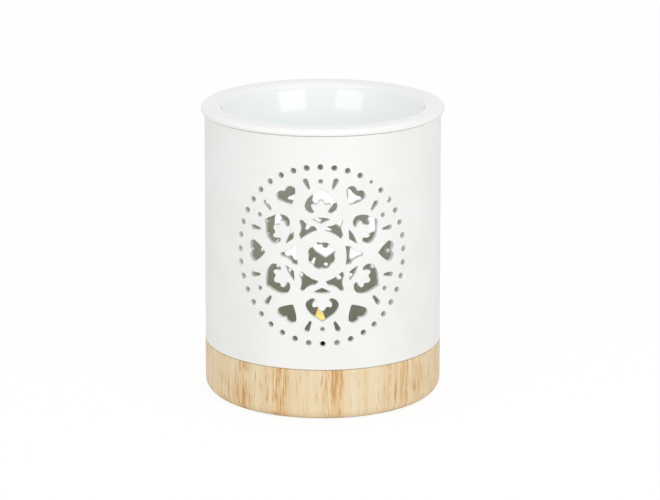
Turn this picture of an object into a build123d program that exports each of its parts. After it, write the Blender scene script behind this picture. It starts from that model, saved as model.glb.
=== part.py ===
from build123d import *
import math
import os

os.makedirs("parts", exist_ok=True)

# Driving sizes in millimetres. The origin is the centre of the foot, +Z is up and the front faces -Y.

# Base tray: a cast ceramic tray that carries a wood-effect print
base_diameter = 100.6
base_height = 22.0
base_floor = 3.0
base_corner = 3.2            # rounding where the outside turns under
tray_corner = 3.0            # rounding where the bore meets the tray's floor
foot_recess = 1.0            # hollow underside, inside the foot ring
foot_ring_width = 7.0
lip_height = 3.0             # upstanding lip that centres the shade
lip_wall = 2.4

# Shade: a tapered ceramic tube with one pierced rosette in front and one behind
shade_foot_inset = 0.1       # how far the shade's foot stands in from the tray's side
shade_taper = 0.5            # fall in radius from the shade's foot to its top
shade_height = 98.8
shade_wall = 2.6
shade_edge = 0.7             # glazed rounding of both rims
shade_fit_clearance = 0.5    # all round, between the shade and the tray's lip

# Dish: a bowl on a rolled rim, which hangs in the top of the shade
rim_overhang = 1.5           # how far the rim stands out past the top of the shade
rim_rise = 3.8               # from the top of the shade to the crest of the rim
rim_roll = 1.35              # radius of the rolled outer edge
rim_roll_sweep = 160.0       # degrees that the rolled edge turns through
rim_band = 7.7               # from the rim's outer edge in to its crest
mouth_roll = 1.4             # radius of the turn from the crest into the bowl
bowl_draft = 10.0            # degrees that the bowl's side leans in
bowl_depth = 26.0
bowl_corner = 15.0           # rounding between the bowl's side and its floor
bowl_floor = 3.4
bowl_wall = 3.2
collar_height = 4.0          # straight collar that centres the dish
collar_corner = 1.5
dish_fit_clearance = 0.6     # all round, between the collar and the shade

# Tea light
cup_diameter = 38.0
cup_height = 15.0
cup_draft = 1.5              # degrees that the cup's side leans out
cup_sheet = 0.4
cup_bead = 1.0               # height and width of the rolled bead on the cup's edge
cup_corner = 1.2
wax_depth = 11.4
wax_clearance = 0.15         # between the wax and all that it was poured round
wick_diameter = 1.7
wick_straight = 14.0         # from the sustainer's disc to the bend
wick_bend_radius = 12.0
wick_bend = 24.0             # degrees that the burnt end leans
sustainer_diameter = 12.0
sustainer_sheet = 0.4
sustainer_collar_height = 5.0
sustainer_bore_clearance = 0.1

# Soft edge left by the glaze or the tool, on the corners that show or are handled
soft_edge = 0.45

# Rosette of cut-outs, laid out on the unrolled wall from its own centre
rosette_drop = 0.5           # from the middle of the shade's height down to the rosette's centre
back_rosette_rise = 0.6      # the rosette behind was cut a little higher than the one in front
back_rosette_turn = 0.6      # degrees that it was also cut round to the right, as seen from the front
rosette_folds = 6
bead_count = 40
bead_circle_radius = 37.1
bead_diameter = 2.5
dot_circle_radius = 31.0
dot_diameter = 2.1
drop_circle_radius = 30.4
drop_length = 4.8
drop_wide_diameter = 2.4
drop_narrow_diameter = 1.3
drop_angle = 11.0            # degrees each side of a scroll heart's axis
drop_lean = 13.0             # degrees that a drop leans away from its own radius
heart_tip_radius = 24.2
heart_width = 8.9
heart_length = 7.5
scroll_tip_radius = 27.8
scroll_width = 13.2
scroll_length = 9.8
triangle_apex_radius = 13.4
triangle_width = 7.8
triangle_length = 2.6
arrow_base_radius = 10.0
arrow_width = 8.0
arrow_length = 7.3
foil_petals = 8
foil_petal_diameter = 4.5
foil_petal_circle_radius = 3.5
cut_overrun = 2.0            # every cutter runs this far past both faces of the wall

# Outlines, chosen by hand: shares of a cut-out's width across its axis, and of its length along it
heart_flank_share = (0.30, 0.33)
heart_side_share = (0.50, 0.65)
heart_lobe_share = (0.27, 1.00)
heart_cleft_share = (0.00, 0.83)
scroll_flank_share = (0.32, 0.29)
scroll_hip_share = (0.435, 0.475)
scroll_side_share = (0.50, 0.71)
scroll_shoulder_share = (0.43, 0.92)
scroll_top_share = (0.32, 1.00)
scroll_curl_share = (0.225, 0.975)
scroll_curl_end_share = (0.21, 0.92)
scroll_hollow_share = (0.268, 0.83)
leaf_side_share = (0.303, 0.723)
leaf_corner_share = (0.285, 0.648)
leaf_foot_share = (0.228, 0.624)
leaf_notch_share = (0.148, 0.653)
leaf_waist_share = (0.098, 0.589)
leaf_round_share = (0.068, 0.505)
leaf_tip_share = (0.00, 0.47)
triangle_corner_share = (0.50, 0.74)
triangle_bow_share = (0.25, 0.94)
arrow_base_share = (0.00, 0.065)
arrow_bow_share = (0.25, 0.05)
arrow_shoulder_share = (0.47, 0.29)
arrow_waist_share = (0.225, 0.52)
arrow_shaft_share = (0.12, 0.81)
arrow_round_share = (0.085, 0.935)
tip_share = (0.00, 0.00)
end_share = (0.00, 1.00)

# Worked out from the sizes above
full_turn = 360
base_radius = base_diameter / 2
foot_radius = base_radius - foot_ring_width
floor_height = foot_recess + base_floor
shade_foot_radius = base_radius - shade_foot_inset
shade_top_radius = shade_foot_radius - shade_taper
shade_top = base_height + shade_height
rosette_height = base_height + shade_height / 2 - rosette_drop
lip_radius = shade_foot_radius - shade_wall - shade_fit_clearance
lip_top = base_height + lip_height
tray_radius = lip_radius - lip_wall
crest = shade_top + rim_rise
rim_radius = shade_top_radius + rim_overhang
mouth_radius = rim_radius - rim_band
collar_radius = shade_top_radius - shade_wall - dish_fit_clearance
bowl_bottom = crest - bowl_depth
cup_floor = floor_height + cup_sheet
cup_top = floor_height + cup_height
cup_radius = cup_diameter / 2
cup_mouth_radius = cup_radius - cup_bead
wax_top = cup_floor + wax_depth
wick_radius = wick_diameter / 2
wick_foot = cup_floor + sustainer_sheet
sustainer_bore = wick_radius + sustainer_bore_clearance
sustainer_collar = sustainer_bore + sustainer_sheet
sustainer_top = wick_foot + sustainer_collar_height


def turned(outline):
    """Solid of revolution about Z, from a closed outline drawn as radius and height."""
    return revolve(Plane.XZ * make_face(outline), Axis.Z)


def rounded_ring(corners):
    """Turned solid from corners given as radius, height and the rounding there."""
    points = [(radius, height) for radius, height, rounding in corners]
    roundings = [rounding for radius, height, rounding in corners]
    return turned(FilletPolyline(*points, radius=roundings, close=True))


def shade_radius_at(height):
    """Outer radius of the tapered shade at a height above the ground."""
    share = (height - base_height) / shade_height
    return shade_foot_radius + share * (shade_top_radius - shade_foot_radius)


def cup_bore_at(height):
    """Inner radius of the tapered cup at a height above the ground."""
    return cup_mouth_radius - (cup_top - height) * math.tan(math.radians(cup_draft))


def base_tray():
    return rounded_ring([
        (0, foot_recess, 0),
        (foot_radius, foot_recess, 0),
        (foot_radius, 0, soft_edge),
        (base_radius, 0, base_corner),
        (base_radius, base_height, soft_edge),
        (lip_radius, base_height, 0),
        (lip_radius, lip_top, soft_edge),
        (tray_radius, lip_top, soft_edge),
        (tray_radius, floor_height, tray_corner),
        (0, floor_height, 0),
    ])


def plain_shade():
    return rounded_ring([
        (shade_foot_radius, base_height, shade_edge),
        (shade_top_radius, shade_top, shade_edge),
        (shade_top_radius - shade_wall, shade_top, shade_edge),
        (shade_foot_radius - shade_wall, base_height, shade_edge),
    ])


# Cut-outs of the rosette

def drawn(share, width, length):
    """Point of a cut-out's outline, from its shares, with the cut-out centred on its axis."""
    across_share, along_share = share
    return (across_share * width, (along_share - 1 / 2) * length)


def mirrored_face(*half_outline):
    """Face from one half of an outline and its reflection in the cut-out's axis."""
    half = Curve() + list(half_outline)
    return make_face(half + mirror(half, about=Plane.YZ))


def heart_face():
    tip, flank, side, lobe, cleft = [drawn(share, heart_width, heart_length) for share in (
        tip_share, heart_flank_share, heart_side_share, heart_lobe_share, heart_cleft_share)]
    return mirrored_face(ThreePointArc(tip, flank, side), ThreePointArc(side, lobe, cleft))


def scroll_heart_face():
    """Heart whose lobes curl in over a three-lobed leaf; its tip is drawn at the bottom."""
    def at(share):
        return drawn(share, scroll_width, scroll_length)
    return mirrored_face(
        Line(at(tip_share), at(scroll_flank_share)),
        ThreePointArc(at(scroll_flank_share), at(scroll_hip_share), at(scroll_side_share)),
        ThreePointArc(at(scroll_side_share), at(scroll_shoulder_share), at(scroll_top_share)),
        ThreePointArc(at(scroll_top_share), at(scroll_curl_share), at(scroll_curl_end_share)),
        ThreePointArc(at(scroll_curl_end_share), at(scroll_hollow_share), at(leaf_side_share)),
        ThreePointArc(at(leaf_side_share), at(leaf_corner_share), at(leaf_foot_share)),
        Line(at(leaf_foot_share), at(leaf_notch_share)),
        Line(at(leaf_notch_share), at(leaf_waist_share)),
        ThreePointArc(at(leaf_waist_share), at(leaf_round_share), at(leaf_tip_share)),
    )


def triangle_face():
    apex, corner, bow, end = [drawn(share, triangle_width, triangle_length) for share in (
        tip_share, triangle_corner_share, triangle_bow_share, end_share)]
    return mirrored_face(Line(apex, corner), ThreePointArc(corner, bow, end))


def arrow_face():
    """Concave triangle with its base towards the rosette's centre."""
    def at(share):
        return drawn(share, arrow_width, arrow_length)
    base_corner_point = (arrow_width / 2, at(tip_share)[1])
    return mirrored_face(
        ThreePointArc(at(arrow_base_share), at(arrow_bow_share), base_corner_point),
        Line(base_corner_point, at(arrow_shoulder_share)),
        ThreePointArc(at(arrow_shoulder_share), at(arrow_waist_share), at(arrow_shaft_share)),
        ThreePointArc(at(arrow_shaft_share), at(arrow_round_share), at(end_share)),
    )


def drop_face():
    """Drop with its wide end outwards: the hull of two circles."""
    wide_radius, narrow_radius = drop_wide_diameter / 2, drop_narrow_diameter / 2
    wide = Pos(0, drop_length / 2 - wide_radius) * Circle(wide_radius)
    narrow = Pos(0, narrow_radius - drop_length / 2) * Circle(narrow_radius)
    return make_hull(wide.edges() + narrow.edges())


def foil_face():
    """Scalloped opening at the rosette's centre."""
    petal = Pos(foil_petal_circle_radius, 0) * Circle(foil_petal_diameter / 2)
    step = full_turn / foil_petals
    return Circle(foil_petal_circle_radius) + [Rot(Z=(n + 1 / 2) * step) * petal for n in range(foil_petals)]


def cutter(face, angle, distance, lean=0):
    """Prism through the wall, square to it, for a cut-out on one radius of the rosette."""
    across = distance * math.cos(math.radians(angle))
    up = distance * math.sin(math.radians(angle))
    height = rosette_height + up
    radius = shade_radius_at(height)
    turn = Rot(Z=math.degrees(across / radius))
    on_wall = turn * Pos(0, -radius, height) * Rot(X=full_turn / 4)
    outwards = Rot(Z=angle - full_turn / 4 + lean)
    return extrude(on_wall * outwards * face, amount=shade_wall + cut_overrun, both=True)


def rosette_cutters():
    heart, scroll, triangle, arrow, drop = (
        heart_face(), Rot(Z=full_turn / 2) * scroll_heart_face(), triangle_face(), arrow_face(), drop_face())
    dot, bead = Circle(dot_diameter / 2), Circle(bead_diameter / 2)
    cutters = [cutter(foil_face(), 0, 0)]
    cutters += [cutter(bead, n * full_turn / bead_count, bead_circle_radius) for n in range(bead_count)]
    for fold in range(rosette_folds):
        plain_axis = fold * full_turn / rosette_folds
        scroll_axis = plain_axis + full_turn / rosette_folds / 2
        cutters += [
            cutter(heart, plain_axis, heart_tip_radius + heart_length / 2),
            cutter(arrow, plain_axis, arrow_base_radius + arrow_length / 2),
            cutter(scroll, scroll_axis, scroll_tip_radius - scroll_length / 2),
            cutter(triangle, scroll_axis, triangle_apex_radius + triangle_length / 2),
            cutter(dot, scroll_axis, dot_circle_radius),
            cutter(drop, scroll_axis + drop_angle, drop_circle_radius, lean=drop_lean),
            cutter(drop, scroll_axis - drop_angle, drop_circle_radius, lean=-drop_lean),
        ]
    return cutters


def pierced_shade():
    front = rosette_cutters()
    behind = Pos(0, 0, back_rosette_rise) * Rot(Z=full_turn / 2 - back_rosette_turn)
    back = [behind * piece for piece in front]
    return plain_shade() - (front + back)


def oil_dish():
    bowl_side = math.tan(math.radians(bowl_draft))
    roll = CenterArc((rim_radius - rim_roll, shade_top + rim_roll), rim_roll, -full_turn / 4, rim_roll_sweep)
    top = TangentArc(roll @ 1, (mouth_radius, crest), tangent=roll % 1)
    lip = CenterArc((mouth_radius, crest - mouth_roll), mouth_roll, full_turn / 4, full_turn / 4 - bowl_draft)
    corner_radius = (lip @ 1).X - ((lip @ 1).Y - bowl_bottom) * bowl_side
    inside = FilletPolyline(
        lip @ 1, (corner_radius, bowl_bottom), (0, bowl_bottom), radius=[bowl_corner])
    outside = FilletPolyline(
        (0, bowl_bottom - bowl_floor),
        (corner_radius + bowl_wall, bowl_bottom - bowl_floor),
        (collar_radius, shade_top - collar_height),
        (collar_radius, shade_top),
        roll @ 0,
        radius=[bowl_corner + bowl_wall, collar_corner, 0])
    axis = Line((0, bowl_bottom), (0, bowl_bottom - bowl_floor))
    return turned(Curve() + [outside, roll, top, lip, inside, axis])


# Tea light

def tealight_cup():
    foot = cup_bore_at(cup_floor) + cup_sheet
    neck = cup_bore_at(cup_top - cup_bead) + cup_sheet
    return rounded_ring([
        (0, floor_height, 0),
        (foot, floor_height, cup_corner),
        (neck, cup_top - cup_bead, 0),
        (cup_radius, cup_top - cup_bead, 0),
        (cup_radius, cup_top, soft_edge),
        (cup_mouth_radius, cup_top, 0),
        (cup_bore_at(cup_floor), cup_floor, cup_corner - cup_sheet),
        (0, cup_floor, 0),
    ])


def tealight_wax():
    disc_hole = sustainer_diameter / 2 + wax_clearance
    collar_hole = sustainer_collar + wax_clearance
    return rounded_ring([
        (cup_bore_at(cup_floor) - wax_clearance, cup_floor, cup_corner),
        (cup_bore_at(wax_top) - wax_clearance, wax_top, 0),
        (wick_radius + wax_clearance, wax_top, 0),
        (wick_radius + wax_clearance, sustainer_top + wax_clearance, 0),
        (collar_hole, sustainer_top + wax_clearance, 0),
        (collar_hole, wick_foot + wax_clearance, 0),
        (disc_hole, wick_foot + wax_clearance, 0),
        (disc_hole, cup_floor, 0),
    ])


def wick_sustainer():
    return rounded_ring([
        (0, cup_floor, 0),
        (sustainer_diameter / 2, cup_floor, 0),
        (sustainer_diameter / 2, wick_foot, 0),
        (sustainer_collar, wick_foot, 0),
        (sustainer_collar, sustainer_top, 0),
        (sustainer_bore, sustainer_top, 0),
        (sustainer_bore, wick_foot, 0),
        (0, wick_foot, 0),
    ])


def tealight_wick():
    """Braided wick that stands in the sustainer's collar, its burnt end leaning to the left."""
    stem = Plane.XZ * Line((0, wick_foot), (0, wick_foot + wick_straight))
    bend = Plane.XZ * CenterArc(
        (-wick_bend_radius, wick_foot + wick_straight), wick_bend_radius, 0, wick_bend)
    section = Pos(0, 0, wick_foot) * Circle(wick_radius)
    return sweep(section, path=Curve() + [stem, bend])


pieces = {
    "base_tray": base_tray(),
    "pierced_shade": pierced_shade(),
    "oil_dish": oil_dish(),
    "tealight_cup": tealight_cup(),
    "tealight_wax": tealight_wax(),
    "tealight_wick": tealight_wick(),
    "wick_sustainer": wick_sustainer(),
}

for name, piece in pieces.items():
    export_step(piece, f"parts/{name}.step")
    print(name, "volume", round(piece.volume), "size", [round(side, 2) for side in piece.bounding_box().size])
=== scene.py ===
import math
from functools import partial

import bpy
import numpy as np
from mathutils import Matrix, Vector
from mathutils.geometry import delaunay_2d_cdt


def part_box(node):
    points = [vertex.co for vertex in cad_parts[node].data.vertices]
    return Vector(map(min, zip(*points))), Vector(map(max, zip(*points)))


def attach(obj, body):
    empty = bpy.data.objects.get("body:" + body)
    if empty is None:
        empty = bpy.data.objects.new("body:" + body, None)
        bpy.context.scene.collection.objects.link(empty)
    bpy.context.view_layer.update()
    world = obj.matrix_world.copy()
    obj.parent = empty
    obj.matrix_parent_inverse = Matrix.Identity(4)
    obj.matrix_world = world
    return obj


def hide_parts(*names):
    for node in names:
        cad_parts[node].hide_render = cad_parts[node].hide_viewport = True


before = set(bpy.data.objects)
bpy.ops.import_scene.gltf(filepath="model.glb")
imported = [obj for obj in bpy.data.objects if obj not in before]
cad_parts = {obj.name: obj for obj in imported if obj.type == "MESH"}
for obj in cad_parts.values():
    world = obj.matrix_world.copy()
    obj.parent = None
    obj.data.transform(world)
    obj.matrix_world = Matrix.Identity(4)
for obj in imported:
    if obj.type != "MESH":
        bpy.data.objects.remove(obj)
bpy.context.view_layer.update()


mm = 0.001                      # sizes below are millimetres, meshes are metres
halfTurn = math.pi
fullTurn = 2 * math.pi
weldStep = 1e-4                 # points nearer than this are one point
fillStep = 1e-5                 # the same while a skin is filled
leastArea = 1e-9                # a smaller triangle is dropped
leastLength = 1e-12             # keeps a vector without length from dividing by nothing
arcStep = 11                    # degrees of a rounded corner between its points


def nodeBox(node):
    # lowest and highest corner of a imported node, in millimetres
    low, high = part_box(node)
    return np.array(low) / mm, np.array(high) / mm


trayHigh = nodeBox("base_tray")[1]
shadeLow, shadeHigh = nodeBox("pierced_shade")
dishHigh = nodeBox("oil_dish")[1]
cupLow, cupHigh = nodeBox("tealight_cup")
waxLow, waxHigh = nodeBox("tealight_wax")
wickLow = nodeBox("tealight_wick")[0]
print("frame loaded")


def newObject(name, data):
    thing = bpy.data.objects.new(name, data)
    bpy.context.scene.collection.objects.link(thing)
    return thing


# Camera: at the photograph's height and distance

camera = {
    "aim": (0.0, 0.0, 60.0),
    "azimuth": 0.53,  # degrees to the right of the front rosette
    "reach": 1133.8,  # level distance from the burner's axis
    "height": 366.3,
    "lens": 150.35, "sensor": 36,
    "axisPixel": 322.7,  # where the burner's axis stands in the photograph
    "photoWidth": 660,
    "clip": (0.01, 100),  # metres
}


def makeCamera():
    data = bpy.data.cameras.new("camera")
    data.sensor_width, data.lens = camera["sensor"], camera["lens"]
    data.shift_x = 0.5 - camera["axisPixel"] / camera["photoWidth"]
    data.clip_start, data.clip_end = camera["clip"]
    eye = newObject("camera", data)
    azimuth, reach = math.radians(camera["azimuth"]), camera["reach"]
    eye.location = Vector((reach * math.sin(azimuth), -reach * math.cos(azimuth), camera["height"])) * mm
    eye.rotation_euler = (Vector(camera["aim"]) * mm - eye.location).to_track_quat("-Z", "Y").to_euler()
    bpy.context.scene.camera = eye


makeCamera()


# Mesh tools

def unit(vectors):
    return vectors / np.maximum(np.linalg.norm(vectors, axis=-1, keepdims=True), leastLength)


def makePiece(name, points, triangles, normals=None, uv=None, finish=None):
    # welds points that coincide, drops the triangles that this closes up and the points that none uses;
    # points (n, 3) in mm, triangles (t, 3), normals (n, 3), uv (t, 3, 2), finish (t,) material numbers
    key = np.rint(points / weldStep).astype(np.int64)
    _, first, weld = np.unique(key, axis=0, return_index=True, return_inverse=True)
    triangles = weld.reshape(-1)[triangles]
    a, b, c = triangles.T
    real = (a != b) & (b != c) & (c != a)
    used, triangles = np.unique(triangles[real], return_inverse=True)
    triangles = triangles.reshape(-1, 3).astype(np.int32)
    first = first[used]
    mesh = bpy.data.meshes.new(name)
    mesh.vertices.add(len(first))
    mesh.vertices.foreach_set("co", (points[first] * mm).astype(np.float32).ravel())
    mesh.loops.add(triangles.size)
    mesh.loops.foreach_set("vertex_index", triangles.ravel())
    mesh.polygons.add(len(triangles))
    mesh.polygons.foreach_set("loop_start", np.arange(0, triangles.size, 3, dtype=np.int32))
    if uv is not None:
        layer = mesh.uv_layers.new(name="wrap")
        layer.data.foreach_set("uv", uv[real].astype(np.float32).ravel())
    if finish is not None:
        mesh.polygons.foreach_set("material_index", finish[real].astype(np.int32))
    mesh.update(calc_edges=True)
    mesh.validate()
    mesh.shade_smooth()
    if normals is not None:
        mesh.normals_split_custom_set_from_vertices(unit(normals[first]).tolist())
    return newObject(name, mesh)


def gridTriangles(rows, columns):
    # two triangles for each cell of a grid of points whose rows follow each other in the array
    corner = (np.arange(rows - 1)[:, None] * columns + np.arange(columns - 1)).ravel()
    right, up, across = corner + 1, corner + columns, corner + columns + 1
    return np.concatenate([np.stack([corner, right, across], 1), np.stack([corner, across, up], 1)])


def gridPiece(name, place):
    # closed piece from points in rows and columns
    return makePiece(name, place.reshape(-1, 3), gridTriangles(*place.shape[:2]))


def compass(angles):
    # plane unit vectors at those angles: cosine and sine
    return np.stack([np.cos(angles), np.sin(angles)], -1)


def rotated(vectors, angles):
    # plane vectors turned anticlockwise
    x, y = vectors[..., 0], vectors[..., 1]
    return np.stack([x * np.cos(angles) - y * np.sin(angles), x * np.sin(angles) + y * np.cos(angles)], -1)


def turnBetween(first, last):
    # signed angle from one plane vector to another
    return math.atan2(first[0] * last[1] - first[1] * last[0], first @ last)


def roundedPath(corners, step=arcStep):
    # straight runs joined by tangent arcs; a corner is radius, height and rounding, the solid is on the
    # left of the path, and the outward normal of each point is the run's right-hand side, turned by the arc
    corner = np.array(corners, float)
    place, rounding = corner[:, :2], corner[:, 2]
    run = unit(np.diff(place, axis=0))
    outward = np.stack([run[:, 1], -run[:, 0]], axis=1)
    points, normals = [place[:1]], [outward[:1]]
    for k in range(1, len(corner) - 1):
        bend = turnBetween(run[k - 1], run[k])
        steps = max(3, math.ceil(abs(bend) / math.radians(step)))
        normal = rotated(outward[k - 1], np.linspace(0, bend, steps + 1))
        start = place[k] - run[k - 1] * rounding[k] * math.tan(abs(bend) / 2)
        points.append(start + math.copysign(rounding[k], bend) * (normal - outward[k - 1]))
        normals.append(normal)
    return np.concatenate(points + [place[-1:]]), np.concatenate(normals + [outward[-1:]])


def roundAxis(steps):
    # angles from the front, and the directions there: x = sin a, y = -cos a
    angle = np.linspace(0, fullTurn, steps + 1)
    return angle, np.stack([np.sin(angle), -np.cos(angle), np.zeros_like(angle)], -1)


def turnedSurface(points, normals, steps):
    # profile of radius and height carried round the axis: points, normals and triangles of a grid
    around, upward = roundAxis(steps)[1], np.array([0.0, 0.0, 1.0])
    place, normal = (part[:, :1, None] * around + part[:, 1:, None] * upward for part in (points, normals))
    return place.reshape(-1, 3), normal.reshape(-1, 3), gridTriangles(len(points), steps + 1)


def turnedPiece(name, profile, steps, finish=None):
    # uv is the turn and the height in mm; finish gives a material number for each row of the profile
    points, normals, triangles = turnedSurface(*profile, steps)
    turn, height = np.meshgrid(np.linspace(0, 1, steps + 1), profile[0][:, 1])
    uv = np.stack([turn.ravel(), height.ravel()], 1)[triangles]
    numbers = None if finish is None else np.tile(np.repeat(finish[:-1], steps), 2)
    return makePiece(name, points, triangles, normals, uv, numbers)


def joined(*profiles):
    return tuple(np.concatenate(part) for part in zip(*profiles))


# Material tools

def srgb(colour):
    # sRGB hex to linear
    value = np.array([int(colour[k:k + 2], 16) for k in (1, 3, 5)]) / 255
    linear = np.where(value <= 0.04045, value / 12.92, ((value + 0.055) / 1.055) ** 2.4)
    return (*linear.tolist(), 1.0)


def addNode(tree, kind, settings=None, links=None):
    # settings are the node's own properties, values of its inputs by name or number, with colours in hex,
    # or the stops of a ramp as (place, hex colour or grey); links are sockets, or nodes that stand for
    # their first output, by input, or one alone for the first input
    node = tree.nodes.new("ShaderNode" + kind)
    for key, value in (settings or {}).items():
        if key == "stops":
            elements = node.color_ramp.elements
            elements.remove(elements[1])
            for number, (place, colour) in enumerate(value):
                element = elements.new(place) if number else elements[0]
                element.position = place
                element.color = srgb(colour) if isinstance(colour, str) else (colour, colour, colour, 1.0)
        elif isinstance(key, str) and key not in node.inputs:
            setattr(node, key, value)
        else:
            node.inputs[key].default_value = srgb(value) if isinstance(value, str) else value
    if links is not None and not isinstance(links, dict):
        links = {0: links}
    for key, source in (links or {}).items():
        socket = source if isinstance(source, bpy.types.NodeSocket) else source.outputs[0]
        tree.links.new(socket, node.inputs[key])
    return node


def mixed(recipe):
    # material named after the function that adds its nodes and returns its shader
    material = bpy.data.materials.new(recipe.__name__)
    material.use_nodes = True
    material.node_tree.nodes.clear()
    add = partial(addNode, material.node_tree)
    add("OutputMaterial", {}, recipe(add))
    return material


def cells(size):
    # scale of a noise whose cells are that many mm across, on coordinates in metres
    return 1 / (size * mm)


def relief(add, place, pattern, below=None):
    # unevenness of a skin on top of a relief below it; a pattern is its noise and its depth in mm
    height = add("TexNoise", pattern[0], place)
    under = {} if below is None else {"Normal": below}
    return add("Bump", {"Distance": pattern[1] * mm}, {"Height": height, **under})


def axisDistance(add, place):
    level = add("VectorMath", {"operation": "MULTIPLY", 1: (1, 1, 0)}, place)
    return add("VectorMath", {"operation": "LENGTH"}, level).outputs["Value"]


def clouded(add, body):
    # fired body whose colour varies in soft clouds, with its relief from the coarsest pattern on
    place = add("TexCoord").outputs["Object"]
    cloud = add("TexNoise", body["cloud"], place)
    colour = add("ValToRGB", {"stops": body["stops"]}, cloud)
    skin = None
    for pattern in body["relief"]:
        skin = relief(add, place, pattern, skin)
    return add("BsdfPrincipled", body["surface"], {"Base Color": colour, "Normal": skin})


# Glazes; stops are the level of the cloud and the colour there

mattGlaze = {
    "cloud": {"Scale": cells(22.0), "Detail": 3},
    "stops": [(0.35, "#F5F5F3"), (0.7, "#F1F1EE")],  # the last where the glaze lies thinner
    "surface": {"Roughness": 0.5, "IOR": 1.5},
    "relief": [({"Scale": cells(14.0)}, 0.05),  # slow unevenness of the cast body
               ({"Scale": cells(1.3), "Detail": 3}, 0.008)],  # peel, coarse enough to show
}
glossGlaze = {
    "tones": [(0, "#FAFAF9"), (1, "#F8FDFA")],  # it runs thicker, and faintly green, in the bowl
    "bowl": {"From Min": 43.5 * mm, "From Max": 41.0 * mm},  # distances from the axis
    "cloud": {"Scale": cells(18.0)},
    "stops": [(0.3, 0.7), (0.7, 1.0)],
    "surface": {"Roughness": 0.07, "IOR": 1.52},
    "relief": ({"Scale": cells(11.0)}, 0.03),
}
clearGlaze = {
    "cloud": {"Scale": cells(16.0), "Detail": 5},
    "stops": [(0.4, "#ECEDE3"), (0.75, "#DFE0D1")],
    "surface": {"Roughness": 0.3, "IOR": 1.5},
    "relief": [({"Scale": cells(12.0)}, 0.05)],
}
grit = {"Scale": cells(0.8), "Detail": 4, "Roughness": 0.7}
clay = {
    "cloud": grit,
    # darker than the biscuit alone: this tone paints the shade in the seams where the pieces meet
    "stops": [(0.35, "#DAD4C9"), (0.75, "#BDB5A8")],
    "surface": {"Roughness": 0.85, "IOR": 1.5},
    "relief": [(grit, 0.05)],
}


def mattWhiteGlaze(add):
    # earthenware under a matt white glaze: soft broad highlight, a fine peel and hardly any colour
    return clouded(add, mattGlaze)


def clearGlazedClay(add):
    # pale clay under a thin clear glaze, on the inside that isn't sprayed white: ivory, a little shiny
    return clouded(add, clearGlaze)


def bareClayAndSeamShadeBody(add):
    # unglazed clay where the pieces stand on each other: warm biscuit, dry and a little gritty, and toned
    # darker than biscuit so that it also paints the shade of the seam lines between the pieces
    return clouded(add, clay)


def glossWhiteGlaze(add):
    # vitreous white glaze: sharp reflections on a slightly wavy skin, faintly green where it pools
    place = add("TexCoord").outputs["Object"]
    inBowl = add("MapRange", glossGlaze["bowl"], axisDistance(add, place))
    cloud = add("TexNoise", glossGlaze["cloud"], place)
    depth = add("ValToRGB", {"stops": glossGlaze["stops"]}, cloud)
    amount = add("Math", {"operation": "MULTIPLY"}, {0: inBowl, 1: depth})
    colour = add("ValToRGB", {"stops": glossGlaze["tones"]}, amount)
    swell = relief(add, place, glossGlaze["relief"])
    return add("BsdfPrincipled", glossGlaze["surface"], {"Base Color": colour, "Normal": swell})


# Wood-effect print on the tray

woodPrint = {
    "ground": [(0.35, "#EFDFBE"), (0.65, "#E8D1A6")],  # pale, and cream where the soft tone is strong
    "tan": "#DFAE6E",
    "brown": "#C48A4A",
    "surface": {"Roughness": 0.34, "IOR": 1.5},
    "grains": [                 # width, length and detail
        (5.0, 120.0, 2),        # soft tone of the ground
        (1.1, 24.0, 3),         # tan, round the dashes
        (0.62, 7.0, 2),         # dashes
    ],
    "ragged": [(0.38, 0.25), (0.6, 1.0)],  # level of the streaks, and how much of the tan is left there
    "dashes": [(0.62, 0.0), (0.82, 0.8)],  # level of the dashes, and how brown it is there
    "crowdedDash": 0.34,  # how much more often a dash shows in the tan
    "patch": {"Scale": cells(11.0)},  # the crowding fades in and out up the side by patches
    "fade": {"From Min": 0.38, "From Max": 0.6, "To Min": 0.35},
    "grainDepth": 0.008,
    "relief": ({"Scale": cells(12.0)}, 0.03),
    # how crowded the grain is round the tray, by turns from the front, given one by one
    "crowding": [(0.0, 0.55), (0.008, 0.5), (0.0145, 1.0), (0.024, 0.8), (0.031, 0.1), (0.046, 0.1),
                 (0.0505, 0.65), (0.055, 0.1), (0.077, 0.12), (0.081, 0.65), (0.086, 0.25), (0.103, 1.0),
                 (0.109, 0.3), (0.124, 0.7), (0.13, 0.25), (0.142, 0.65), (0.17, 0.3), (0.24, 0.7),
                 (0.36, 0.25), (0.5, 0.8), (0.63, 0.3), (0.76, 0.75), (0.835, 0.35), (0.8525, 0.7),
                 (0.871, 0.45), (0.894, 1.0), (0.903, 0.25), (0.927, 0.5), (0.935, 1.0), (0.949, 0.8),
                 (0.96, 0.1), (0.985, 0.12)],
}


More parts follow.
